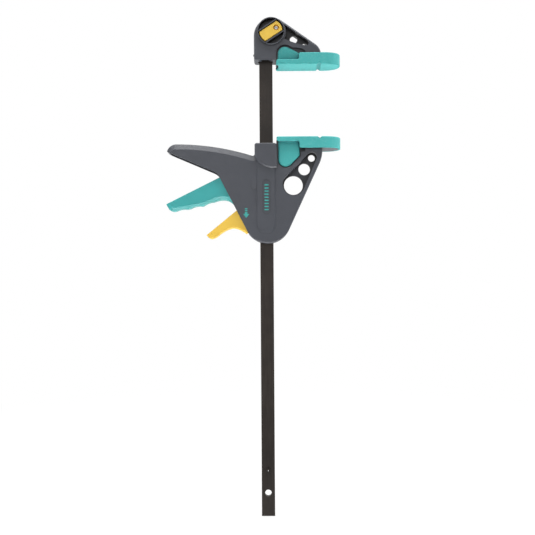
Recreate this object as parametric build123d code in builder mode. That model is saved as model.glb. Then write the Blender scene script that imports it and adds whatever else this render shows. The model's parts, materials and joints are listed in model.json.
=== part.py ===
"""One-handed trigger bar clamp: flat bar, locking top jaw, and a sliding head
with drive trigger and release lever.

Millimetres.  +Z runs up along the bar, +X points along the jaws and -Y is the
front.  The origin is the centre of the hang hole near the bar's lower end.
"""
from build123d import *
from math import acos, cos, pi, radians, sin, tan
import os

os.makedirs("parts", exist_ok=True)

# ---------------------------------------------------------------- bar
bar_width = 20.0
bar_thickness = 6.0
bar_bottom = -34.8
bar_top = 706.0
bar_corner_radius = 0.6
hang_hole_radius = 5.0
stop_pin_height = 34.2
stop_pin_radius = 3.0
stop_pin_bore_radius = 1.7
stop_pin_half_length = 8.0
guide_gap = 0.3

# ---------------------------------------------------------------- pads
pad_left = 15.3
pad_tip = 112.0
pad_half_width = 20.0
pad_nose_length = 27.0
pad_rim_height = 17.2
pad_short_rim_height = 7.2
pad_rim_thickness = 3.0
pad_cap_thickness = 4.2
pad_step_x = 49.4
pad_step_radius = 2.6
pad_corner_radius = 3.0
pad_lip_radius = 2.4
groove_x = 79.7
groove_width = 6.1
groove_depth = 2.3
tongue_left = 17.7
tongue_gap = 1.5
tongue_bevel = 2.0
fixed_tongue_gap = 2.3
fixed_face_height = 643.3
moving_face_height = 535.8
pad_fit = 0.15

# ---------------------------------------------------------------- fixed jaw
jaw_half_depth = 13.5
jaw_left = -17.7
jaw_bottom = 651.6
jaw_right = 83.0
jaw_slope = 35.0
jaw_crown_apex = 740.0
jaw_crown_radius = 27.0
jaw_toe_radius = 21.0
jaw_heel_radius = 3.4
jaw_pocket_depth = 10.5
jaw_tongue_front = 12.9
knob_x = 8.0
knob_height = 693.9
knob_ring_radius = 20.5
knob_recess_radius = 19.2
knob_ring_front = 17.0
knob_floor = 5.5
jaw_web_half = 2.0

# ---------------------------------------------------------------- lock knob
key_angle = 33.0
key_width = 16.6
key_gap = 1.1
key_radius = 17.4
key_front = 15.8
dial_radius = 18.9
dial_base_thickness = 2.4
dial_wall = 1.6
dial_wall_front = 16.6
key_screw_offset = 9.4
key_screw_boss = 3.5
key_screw_sink = 3.6
lock_shaft_radius = 7.0
lock_shaft_flat = 2.75
lock_shaft_end = 15.6
retainer_groove_radius = 5.6
retainer_radius = 10.0
retainer_thickness = 1.0

# ---------------------------------------------------------------- sliding head
head_half_depth = 15.0
head_wall = 2.5
head_cavity_half = head_half_depth - head_wall
collar_left = -17.5
collar_right = 15.2
collar_top = 526.2
collar_half_depth = 19.4
upper_guide_bottom = 505.0
lower_guide_top = 387.5
spring_seat_top = 440.0
deck_step = -14.5
deck_left_top = 433.5
deck_bottom = 430.8
head_pocket_depth = 12.0
head_tongue_front = 14.3
channel_left = -15.6
channel_right = 13.8
channel_height = 1.4
channel_bottom = 391.6
channel_ramp = 10.0
arm_holes = [(40.6, 464.5, 14.3), (57.1, 488.7, 8.8), (68.1, 505.5, 5.2)]
arm_recess_margin = 2.3
arm_web_half = 2.0
label_x = -0.1
label_low = 420.2
label_high = 472.4
label_width = 12.0
label_depth = 0.8

arrow_x = -30.7
arrow_low = 414.9

# ---------------------------------------------------------------- trigger drive
trigger_pivot_x = -26.0
trigger_pivot_height = 470.0
trigger_half_width = 10.5
trigger_pin_radius = 2.5
trigger_swing = 28.0
finger_hollows = [(-124.6, 428.6), (-101.2, 433.2), (-79.2, 439.0)]
finger_hollow_radius = 24.0
finger_hollow_depth = 0.9
grip_bevel_height = 4.8
grip_bevel_depth = 3.4
nose_arm = 11.0
nose_radius = 3.5
drive_plate_left = -19.5
drive_plate_right = 14.0
drive_plate_half_width = 10.0
drive_plate_thickness = 5.0
slot_gap = 0.3
drive_spring_radius = 11.5
drive_spring_wire = 1.4
drive_spring_turns = 5

# ---------------------------------------------------------------- brake
brake_pivot_x = -26.0
brake_pivot_height = 404.0
brake_tilt = 5.0
brake_half_width = 9.0
brake_pin_radius = 2.0
brake_plate_thickness = 4.5
brake_plate_length = 46.0
brake_slot_length = 21.0
brake_spring_x = 15.6
brake_spring_radius = 3.4
brake_spring_wire = 1.0
brake_spring_turns = 4
brake_seat_top = 390.0

# ---------------------------------------------------------------- fasteners
pin_half_length = 13.4
running_gap = 0.05
screw_radius = 1.45
screw_hole_radius = 1.5
screw_clear_radius = 1.7
screw_head_radius = 2.8
screw_head_height = 2.2
screw_boss_radius = 3.6
screw_seat = 12.0
screw_points = [
    (-126.0, 515.6),
    (-58.0, 509.6),
    (20.6, 481.0),
    (44.0, 437.0),
    (-24.0, 431.5),
    (-16.5, 391.3),
]


def save(part, label):
    """Write one finished piece under its own name."""
    part.label = label
    export_step(part, "parts/" + label + ".step")


def front(distance):
    """Drawing plane facing the front, the given distance ahead of the bar's middle."""
    return Plane.XZ.offset(distance)


def tapered_slot(x1, z1, r1, x2, z2, r2):
    """Face around two circles joined by their outer tangents."""
    dx = x2 - x1
    dz = z2 - z1
    span = (dx * dx + dz * dz) ** 0.5
    heading = Vector(dx / span, dz / span)
    side = Vector(-heading.Y, heading.X)
    lean = acos((r1 - r2) / span)
    c1 = Vector(x1, z1)
    c2 = Vector(x2, z2)

    def rim(centre, radius, angle):
        return centre + heading * (radius * cos(angle)) + side * (radius * sin(angle))

    with BuildLine() as outline:
        Line(rim(c1, r1, lean), rim(c2, r2, lean))
        ThreePointArc(rim(c2, r2, lean), rim(c2, r2, 0), rim(c2, r2, -lean))
        Line(rim(c2, r2, -lean), rim(c1, r1, -lean))
        ThreePointArc(rim(c1, r1, -lean), rim(c1, r1, pi), rim(c1, r1, lean))
    make_face(outline.edges())


# ================================================================ bar
with BuildPart() as bar:
    with BuildSketch(Plane.XY.offset(bar_bottom)):
        RectangleRounded(bar_width, bar_thickness, bar_corner_radius)
    extrude(amount=bar_top - bar_bottom)
    chamfer(bar.faces().sort_by(Axis.Z)[0].edges(), length=0.4)
    chamfer(bar.faces().sort_by(Axis.Z)[-1].edges(), length=0.4)
    with BuildSketch(Plane.XZ):
        Circle(hang_hole_radius)
        with Locations((0, stop_pin_height)):
            Circle(stop_pin_radius)
        with Locations((knob_x, knob_height)):
            Circle(lock_shaft_radius + 0.15)
    extrude(amount=bar_thickness, both=True, mode=Mode.SUBTRACT)
    hole_rims = bar.edges().filter_by(GeomType.CIRCLE).filter_by_position(
        Axis.Z, -hang_hole_radius - 0.1, hang_hole_radius + 0.1
    )
    chamfer(hole_rims, length=0.3)
save(bar.part, "bar")

# Hollow spring pin through the bar; it stops the head running off the end.
with BuildPart() as bar_stop_pin:
    with BuildSketch(front(-stop_pin_half_length)):
        with Locations((0, stop_pin_height)):
            Circle(stop_pin_radius)
            Circle(stop_pin_bore_radius, mode=Mode.SUBTRACT)
        with Locations((0, stop_pin_height - stop_pin_radius)):
            Rectangle(0.7, 2 * stop_pin_radius, mode=Mode.SUBTRACT)
    extrude(amount=2 * stop_pin_half_length)
save(bar_stop_pin.part, "bar_stop_pin")


# ================================================================ pads
def pad_plan(inset):
    """Plan of a pad: straight sides, elliptical nose, inset all round."""
    half = pad_half_width - inset
    nose = pad_nose_length - inset
    shoulder = pad_tip - pad_nose_length
    left = pad_left + inset
    blunt = 0.62
    with BuildLine() as outline:
        Line((left, -half), (shoulder, -half))
        Bezier(
            (shoulder, -half),
            (shoulder + blunt * nose, -half),
            (shoulder + nose, -blunt * half),
            (shoulder + nose, 0),
        )
        Bezier(
            (shoulder + nose, 0),
            (shoulder + nose, blunt * half),
            (shoulder + blunt * nose, half),
            (shoulder, half),
        )
        Line((shoulder, half), (left, half))
        Line((left, half), (left, -half))
    make_face(outline.edges())


def pad_window(face_height, inward):
    """Side view of the rim's cut-away beside the tongues, with its rounded step."""
    low = face_height + inward * pad_short_rim_height
    high = face_height + inward * (pad_rim_height + 1)
    round_in = pad_step_x - pad_step_radius
    lean = pad_step_radius * cos(pi / 4)
    lip_end = low - inward * pad_lip_radius
    lip_lean = pad_lip_radius * (1 - cos(pi / 4))
    with BuildLine() as outline:
        Line((pad_left - 1, high), (pad_left - 1, lip_end))
        Line((pad_left - 1, lip_end), (pad_left, lip_end))
        ThreePointArc(
            (pad_left, lip_end),
            (pad_left + lip_lean, low - inward * lip_lean),
            (pad_left + pad_lip_radius, low),
        )
        Line((pad_left + pad_lip_radius, low), (round_in, low))
        ThreePointArc(
            (round_in, low),
            (round_in + lean, low + inward * (pad_step_radius - lean)),
            (pad_step_x, low + inward * pad_step_radius),
        )
        Line((pad_step_x, low + inward * pad_step_radius), (pad_step_x, high))
        Line((pad_step_x, high), (pad_left - 1, high))
    make_face(outline.edges())


def moving_tongue_outline(grow):
    """Long tongue under the moving pad: round foot and a 45 degree right side."""
    left = tongue_left - grow
    foot_x = 28.8
    foot_z = 502.2
    foot_radius = 11.2 + grow
    lean = cos(pi / 4)
    diagonal_x = foot_x + foot_radius * lean
    diagonal_z = foot_z - foot_radius * lean
    right = 50.2 + grow
    top = moving_face_height - pad_cap_thickness
    corner_z = diagonal_z + (right - diagonal_x)
    with BuildLine() as outline:
        Line((left, top), (left, foot_z))
        ThreePointArc(
            (left, foot_z),
            (foot_x - foot_radius * lean, foot_z - foot_radius * lean),
            (foot_x, foot_z - foot_radius),
        )
        ThreePointArc(
            (foot_x, foot_z - foot_radius),
            (foot_x + foot_radius * sin(pi / 8), foot_z - foot_radius * cos(pi / 8)),
            (diagonal_x, diagonal_z),
        )
        Line((diagonal_x, diagonal_z), (right, corner_z))
        Line((right, corner_z), (right, top))
        Line((right, top), (left, top))
    make_face(outline.edges())


def fixed_tongue_outline(grow, foot_inset):
    """Short tongue above the fixed pad: round head falling away to the right."""
    left = tongue_left - grow
    head_x = 28.6
    head_z = 661.0
    head_radius = 10.7 + grow
    slope = radians(62.0)
    shoulder_x = head_x + head_radius * cos(slope)
    shoulder_z = head_z + head_radius * sin(slope)
    right = 50.6 + grow
    right_z = shoulder_z - (right - shoulder_x) / tan(slope)
    bottom = fixed_face_height + pad_cap_thickness
    with BuildLine() as outline:
        Line((left, bottom), (left, head_z))
        ThreePointArc(
            (left, head_z),
            (head_x - head_radius * sin(pi / 4), head_z + head_radius * cos(pi / 4)),
            (head_x, head_z + head_radius),
        )
        ThreePointArc(
            (head_x, head_z + head_radius),
            (head_x + head_radius * cos((slope + pi / 2) / 2),
             head_z + head_radius * sin((slope + pi / 2) / 2)),
            (shoulder_x, shoulder_z),
        )
        Line((shoulder_x, shoulder_z), (right, right_z))
        Line((right, right_z), (right - foot_inset, right_z - 0.1))
        Line((right - foot_inset, right_z - 0.1), (right - foot_inset, bottom))
        Line((right - foot_inset, bottom), (left, bottom))
    make_face(outline.edges())


def pad_cap(face_height, inward):
    """Cap shared by both pads; inward is +1 when the jaw lies above the face."""
    with BuildSketch(Plane.XY.offset(face_height)) as plan:
        pad_plan(0)
        bar_end = plan.vertices().sort_by(Axis.X)[:2]
        fillet(bar_end, radius=pad_corner_radius)
    extrude(plan.sketch, amount=inward * pad_rim_height)
    cap_end = face_height + inward * pad_cap_thickness
    long_edges = edges().filter_by_position(Axis.Z, face_height - 0.01, face_height + 0.01)
    fillet(long_edges, radius=1.5)
    # The hollow the jaw's flange plugs into.
    with BuildSketch(Plane.XY.offset(cap_end)) as hollow:
        pad_plan(pad_rim_thickness)
        with Locations((pad_left, 0)):
            Rectangle(2 * pad_rim_thickness + 2, 2 * (pad_half_width - pad_rim_thickness))
    extrude(hollow.sketch, amount=inward * (pad_rim_height + 1), mode=Mode.SUBTRACT)
    # Beside the tongues the rim is only a short lip.
    with BuildSketch(Plane.XZ) as window:
        pad_window(face_height, inward)
    extrude(window.sketch, amount=pad_half_width + 1, both=True, mode=Mode.SUBTRACT)
    rim_end = face_height + inward * pad_rim_height
    step_top = edges().filter_by(Axis.Y).filter_by_position(Axis.X, pad_step_x - 0.01, pad_step_x + 0.01)
    step_top = step_top.filter_by_position(Axis.Z, rim_end - 0.01, rim_end + 0.01)
    fillet(step_top, radius=pad_step_radius)
    # Transverse groove for round stock.
    with BuildSketch(Plane.XZ) as groove:
        with BuildLine():
            Polyline(
                (groove_x - groove_width / 2, face_height - inward * 1.0),
                (groove_x - groove_width / 2, face_height),
                (groove_x - 0.8, face_height + inward * groove_depth),
                (groove_x + 0.8, face_height + inward * groove_depth),
                (groove_x + groove_width / 2, face_height),
                (groove_x + groove_width / 2, face_height - inward * 1.0),
                close=True,
            )
        make_face()
    extrude(groove.sketch, amount=pad_half_width + 1, both=True, mode=Mode.SUBTRACT)
    # Notch in the bar end of the face.
    with BuildSketch(Plane.XY.offset(face_height)) as notch:
        with Locations((pad_left, 0)):
            Rectangle(6.0, 21.0)
    extrude(notch.sketch, amount=inward * pad_cap_thickness, mode=Mode.SUBTRACT)


with BuildPart() as fixed_jaw_pad:
    pad_cap(fixed_face_height, 1)
    for side in (1, -1):
        with BuildSketch(front(side * (jaw_pocket_depth + pad_fit))):
            fixed_tongue_outline(0, 0.9)
        extrude(amount=side * (jaw_tongue_front - jaw_pocket_depth - pad_fit))
        tongue_rim = fixed_jaw_pad.edges().filter_by_position(
            Axis.Y, -side * jaw_tongue_front - 0.01, -side * jaw_tongue_front + 0.01
        )
        tongue_rim = tongue_rim.filter_by(lambda edge: edge.center().X < 47.0)
        tongue_rim = tongue_rim.filter_by(lambda edge: edge.center().Z > 650.0)
        tongue_face = fixed_jaw_pad.faces().filter_by(Plane.XZ).sort_by_distance(
            (30.0, -side * jaw_tongue_front, 660.0)
        )[0]
        chamfer(tongue_rim, length=tongue_bevel, length2=0.9, reference=tongue_face)
    with BuildSketch(Plane.XY.offset(fixed_face_height + pad_cap_thickness)):
        for side in (1, -1):
            with Locations((33.2, side * 16.2)):
                Rectangle(31.0, 3.4)
    extrude(amount=pad_short_rim_height - pad_cap_thickness)
save(fixed_jaw_pad.part, "fixed_jaw_pad")

with BuildPart() as moving_jaw_pad:
    pad_cap(moving_face_height, -1)
    for side in (1, -1):
        with BuildSketch(front(side * (head_pocket_depth + pad_fit))):
            moving_tongue_outline(0)
        extrude(amount=side * (head_tongue_front - head_pocket_depth - pad_fit))
        tongue_rim = moving_jaw_pad.edges().filter_by_position(
            Axis.Y, -side * head_tongue_front - 0.01, -side * head_tongue_front + 0.01
        )
        tongue_rim = tongue_rim.filter_by(lambda edge: edge.center().Z < 530.0)
        tongue_face = moving_jaw_pad.faces().filter_by(Plane.XZ).sort_by_distance(
            (30.0, -side * head_tongue_front, 515.0)
        )[0]
        chamfer(tongue_rim, length=tongue_bevel, length2=0.9, reference=tongue_face)
    with BuildSketch(Plane.XY.offset(moving_face_height - pad_cap_thickness)):
        for side in (1, -1):
            with Locations((33.2, side * 16.6)):
                Rectangle(31.0, 2.6)
    extrude(amount=pad_cap_thickness - pad_short_rim_height)
save(moving_jaw_pad.part, "moving_jaw_pad")


# ================================================================ fixed jaw
def jaw_recess():
    """Sunk triangle between the knob ring and the arm's end."""
    with BuildLine() as outline:
        Line((26.6, 705.0), (62.0, 680.6))
        ThreePointArc((62.0, 680.6), (64.3, 676.2), (61.0, 672.6))
        ThreePointArc((61.0, 672.6), (43.6, 676.6), (27.6, 683.2))
        ThreePointArc((27.6, 683.2), (30.4, 693.2), (26.6, 705.0))
    make_face(outline.edges())


with BuildPart() as fixed_jaw_body:
    with BuildSketch(Plane.XZ) as jaw_side:
        with BuildLine():
            Polyline(
                (jaw_left, jaw_bottom),
                (jaw_left, jaw_crown_apex),
                (jaw_right, jaw_crown_apex - (jaw_right - jaw_left) * tan(radians(jaw_slope))),
                (jaw_right, jaw_bottom),
                close=True,
            )
        make_face()
        corners = jaw_side.vertices().sort_by(Axis.Y)
        fillet(corners[-1], radius=jaw_crown_radius)
        toe = jaw_side.vertices().sort_by(Axis.X)[-2:].sort_by(Axis.Y)[-1]
        fillet(toe, radius=jaw_toe_radius)
    extrude(amount=jaw_half_depth, both=True)
    # Rounded long edges, kept off the underside and the toe.
    for depth in (jaw_half_depth, -jaw_half_depth):
        rim = fixed_jaw_body.edges().filter_by_position(Axis.Y, depth - 0.01, depth + 0.01)
        rim = rim.filter_by(lambda edge: edge.center().Z > jaw_bottom + 0.5)
        fillet(rim, radius=3.2)
    # Round heel below the sleeve's outer edge.
    with BuildSketch(Plane.XZ):
        with Locations((jaw_left, jaw_bottom)):
            Rectangle(2 * jaw_heel_radius, 2 * jaw_heel_radius)
        with Locations((jaw_left + jaw_heel_radius, jaw_bottom + jaw_heel_radius)):
            Circle(jaw_heel_radius, mode=Mode.SUBTRACT)
    extrude(amount=jaw_half_depth + 1, both=True, mode=Mode.SUBTRACT)
    # Raised ring round the lock knob.
    with BuildSketch(front(jaw_half_depth - 2)):
        with Locations((knob_x, knob_height)):
            Circle(knob_ring_radius)
    extrude(amount=knob_ring_front - jaw_half_depth + 2)
    ring_edge = fixed_jaw_body.faces().sort_by(Axis.Y)[0].edges()
    fillet(ring_edge, radius=0.6)
    # Everything right of the sleeve and below the arm is left to the pad.
    with BuildSketch(front(-jaw_half_depth - 1)):
        with Locations((collar_right + 40, jaw_bottom - 1)):
            Rectangle(80, 2 * (fixed_face_height + pad_rim_height + 0.2 - jaw_bottom + 1))
    extrude(amount=2 * jaw_half_depth + 2, mode=Mode.SUBTRACT)
    # Flange plate that fills the pad's rim, and the tenon between the tongues.
    flange_bottom = fixed_face_height + pad_cap_thickness + pad_fit
    with BuildSketch(Plane.XY.offset(flange_bottom)):
        pad_plan(pad_rim_thickness + pad_fit)
        with Locations((pad_left, 0)):
            Rectangle(2 * (pad_step_x - pad_left) + 1.0, 50, mode=Mode.SUBTRACT)
    extrude(amount=pad_rim_height - pad_cap_thickness + 0.6)
    with BuildSketch(Plane.XY.offset(flange_bottom)):
        with Locations(((collar_right + pad_step_x + 3) / 2, 0)):
            Rectangle(pad_step_x + 3 - collar_right, 2 * jaw_pocket_depth)
    extrude(amount=pad_rim_height)
    # Pockets for the pad's tongues, front and back.
    for side in (1, -1):
        with BuildSketch(front(side * jaw_pocket_depth)):
            fixed_tongue_outline(fixed_tongue_gap, 3.2)
            with BuildLine():
                Polyline(
                    (40.0, 658.0), (40.0, 669.6), (44.0, 669.6), (54.2, 667.9),
                    (59.4, 664.4), (60.6, 660.0), (60.6, 658.0), close=True,
                )
            make_face()
        extrude(amount=side * 8, mode=Mode.SUBTRACT)
    # Sunk web with two holes.
    for side in (1, -1):
        with BuildSketch(front(side * jaw_web_half)):
            jaw_recess()
        extrude(amount=side * jaw_half_depth, mode=Mode.SUBTRACT)
    with BuildSketch(Plane.XZ):
        jaw_recess()
        with Locations((42.1, 684.9)):
            Circle(5.7, mode=Mode.INTERSECT)
    extrude(amount=jaw_web_half, both=True, mode=Mode.SUBTRACT)
    with BuildSketch(Plane.XZ):
        jaw_recess()
        with Locations((58.6, 675.4)):
            Circle(4.0, mode=Mode.INTERSECT)
    extrude(amount=jaw_web_half, both=True, mode=Mode.SUBTRACT)
    # Socket for the bar, open below.
    with BuildSketch(Plane.XY.offset(jaw_bottom - 1)):
        Rectangle(bar_width + 0.2, bar_thickness + 0.2)
    extrude(amount=bar_top + 0.1 - jaw_bottom + 1, mode=Mode.SUBTRACT)
    # Knob recess, then the bore for the lock shaft and the retainer's seat.
    with BuildSketch(front(knob_floor)):
        with Locations((knob_x, knob_height)):
            Circle(knob_recess_radius)
    extrude(amount=20, mode=Mode.SUBTRACT)
    with BuildSketch(front(-jaw_half_depth - 1)):
        with Locations((knob_x, knob_height)):
            Circle(lock_shaft_radius + running_gap)
    extrude(amount=jaw_half_depth + knob_floor + 2, mode=Mode.SUBTRACT)
    # Wider mouth where the bar enters, with a pocket in the underside before it.
    with BuildSketch(Plane.XY.offset(jaw_bottom - 1)):
        with Locations((-0.4, 0)):
            Rectangle(bar_width + 2.0, bar_thickness + 2.0)
    extrude(amount=2.6, mode=Mode.SUBTRACT)
    with BuildSketch(Plane.XY.offset(jaw_bottom - 1)):
        with BuildLine():
            Polyline((-7.0, -3.0), (-5.6, -10.2), (5.0, -10.2), (6.4, -3.0), close=True)
        make_face()
    extrude(amount=7.0, mode=Mode.SUBTRACT)
    # Moulding nub on the sleeve's outer edge.
    with BuildSketch(Plane.XY.offset(jaw_bottom + 9.0)):
        with Locations((jaw_left, 0)):
            Circle(1.2)
    extrude(amount=2.4)
save(fixed_jaw_body.part, "fixed_jaw_body")


# ================================================================ lock knob
def key_band(width, radius):
    """Disc cut by two parallel chords, lying along the key's axis."""
    with Locations((knob_x, knob_height)):
        Circle(radius)
    with Locations(Location((knob_x, knob_height, 0), (0, 0, 1), key_angle)):
        Rectangle(3 * radius, width, mode=Mode.INTERSECT)


key_screw_x = knob_x + key_screw_offset * cos(radians(key_angle))
key_screw_z = knob_height + key_screw_offset * sin(radians(key_angle))
dial_back = knob_floor + 0.1
dial_floor = dial_back + dial_base_thickness

# Quarter-turn shaft: flat over the bar's width, grooved end at the back.
with BuildPart() as lock_shaft:
    with BuildSketch(front(-lock_shaft_end)):
        with Locations((knob_x, knob_height)):
            Circle(lock_shaft_radius)
    extrude(amount=lock_shaft_end + dial_floor)
    with BuildSketch(front(-bar_thickness / 2 - 0.4)):
        with Locations((knob_x, knob_height - 10 + lock_shaft_flat)):
            Rectangle(4 * lock_shaft_radius, 20)
    extrude(amount=bar_thickness + 0.8, mode=Mode.SUBTRACT)
    with BuildSketch(front(-jaw_half_depth - 0.1 - retainer_thickness)):
        with Locations((knob_x, knob_height)):
            Circle(lock_shaft_radius + 1)
            Circle(retainer_groove_radius, mode=Mode.SUBTRACT)
    extrude(amount=retainer_thickness, mode=Mode.SUBTRACT)
    # Drive flats inside the dial.
    with BuildSketch(front(dial_back)):
        for side in (1, -1):
            with Locations((knob_x, knob_height + side * (lock_shaft_radius + 3.8))):
                Rectangle(4 * lock_shaft_radius, 10)
    extrude(amount=dial_base_thickness + 1, mode=Mode.SUBTRACT)
    chamfer(lock_shaft.faces().sort_by(Axis.Y)[-1].edges(), length=0.6)
save(lock_shaft.part, "lock_shaft")

with BuildPart() as lock_dial:
    with BuildSketch(front(dial_back)):
        with Locations((knob_x, knob_height)):
            Circle(dial_radius)
    extrude(amount=dial_base_thickness)
    # Two thin walls beside the key and a rim joining their ends.
    with BuildSketch(front(dial_floor)):
        key_band(key_width + 2 * (key_gap + dial_wall), dial_radius)
        with Locations(Location((knob_x, knob_height, 0), (0, 0, 1), key_angle)):
            Rectangle(4 * dial_radius, key_width + 2 * key_gap, mode=Mode.SUBTRACT)
    extrude(amount=dial_wall_front - dial_floor)
    # Boss for the key's screw.
    with BuildSketch(front(dial_floor)):
        with Locations((key_screw_x, key_screw_z)):
            Circle(3.0)
    extrude(amount=key_screw_boss)
    with BuildSketch(front(dial_back)):
        with Locations((knob_x, knob_height)):
            Circle(lock_shaft_radius)
            Rectangle(4 * lock_shaft_radius, 2 * (lock_shaft_radius - 1.2), mode=Mode.INTERSECT)
    extrude(amount=dial_base_thickness, mode=Mode.SUBTRACT)
    with BuildSketch(front(dial_back + 0.6)):
        with Locations((key_screw_x, key_screw_z)):
            Circle(screw_hole_radius)
    extrude(amount=10, mode=Mode.SUBTRACT)
save(lock_dial.part, "lock_dial")

with BuildPart() as lock_key:
    with BuildSketch(front(dial_floor)):
        key_band(key_width, key_radius)
    extrude(amount=key_front - dial_floor)
    fillet(lock_key.edges().filter_by(Axis.Y), radius=1.2)
    fillet(lock_key.faces().sort_by(Axis.Y)[0].edges(), radius=0.9)
    with BuildSketch(front(dial_floor)):
        with Locations((key_screw_x, key_screw_z)):
            Circle(3.1)
    extrude(amount=key_screw_boss + 0.1, mode=Mode.SUBTRACT)
    with BuildSketch(front(dial_floor)):
        with Locations((key_screw_x, key_screw_z)):
            Circle(screw_clear_radius)
    extrude(amount=10, mode=Mode.SUBTRACT)
    with BuildSketch(front(key_front - key_screw_sink)):
        with Locations((key_screw_x, key_screw_z)):
            Circle(4.4)
    extrude(amount=5, mode=Mode.SUBTRACT)
save(lock_key.part, "lock_key")


def pan_screw(x, z, seat, length, toward):
    """Pan-head screw with a cross slot; toward is +1 when its head faces front."""
    with BuildSketch(front(seat)) as shank:
        with Locations((x, z)):
            Circle(screw_radius)
    extrude(shank.sketch, amount=-toward * length)
    with BuildSketch(front(seat)) as head:
        with Locations((x, z)):
            Circle(screw_head_radius)
    extrude(head.sketch, amount=toward * screw_head_height)
    top = seat + toward * screw_head_height
    crown = edges().filter_by(GeomType.CIRCLE).filter_by_position(Axis.Y, -top - 0.01, -top + 0.01)
    crown = crown.sort_by_distance((x, -top, z))[0]
    fillet(crown, radius=0.7)
    with BuildSketch(front(top)) as drive:
        with Locations((x, z)):
            Rectangle(2.9, 0.7)
            Rectangle(0.7, 2.9)
    extrude(drive.sketch, amount=-toward * 1.2, mode=Mode.SUBTRACT)


with BuildPart() as lock_key_screw:
    pan_screw(key_screw_x, key_screw_z, key_front - key_screw_sink, 3.2, 1)
save(lock_key_screw.part, "lock_key_screw")

# Split ring that keeps the lock shaft from pulling out of the back.
with BuildPart() as lock_retaining_ring:
    with BuildSketch(front(-jaw_half_depth - 0.1 - retainer_thickness)):
        with Locations((knob_x, knob_height)):
            Circle(retainer_radius)
            Circle(retainer_groove_radius, mode=Mode.SUBTRACT)
        with Locations((knob_x, knob_height - retainer_radius)):
            Rectangle(2 * retainer_groove_radius - 1.4, 2 * retainer_radius, mode=Mode.SUBTRACT)
    extrude(amount=retainer_thickness)
save(lock_retaining_ring.part, "lock_retaining_ring")


# ================================================================ head housing
def head_side():
    """Side view of the head's shells, handle to the left and arm to the right."""
    with BuildLine() as outline:
        spine = ThreePointArc((collar_left, 507.2), (-78.0, 521.7), (-135.0, 526.1))
        TangentArc((-135.0, 526.1), (-148.7, 516.4), tangent=spine % 1)
        ThreePointArc((-148.7, 516.4), (-148.2, 514.7), (-146.6, 513.8))
        Line((-146.6, 513.8), (-80.9, 485.7))
        ThreePointArc((-80.9, 485.7), (-74.9, 482.2), (-70.8, 477.2))
        Line((-70.8, 477.2), (-26.9, 391.0))
        TangentArc((33.6, 397.2), (-26.9, 391.0), tangent=(33.6 - 84.0, 397.2 - 505.8))
        Polyline(
            (33.6, 397.2),
            (84.0, 505.8),
            (84.0, 519.4),
            (collar_right, 519.4),
            (collar_right, 520.0),
            (collar_left, 520.0),
            (collar_left, 507.2),
        )
    make_face(outline.edges())


def collar_side():
    """Side view of the raised collar, its lower edge sweeping down to the right."""
    with BuildLine() as outline:
        Polyline(
            (collar_right, 489.3),
            (collar_right, collar_top),
            (collar_left, collar_top),
            (collar_left, 504.0),
        )
        ThreePointArc((collar_left, 504.0), (-3.4, 492.0), (collar_right, 489.3))
    make_face(outline.edges())


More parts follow.
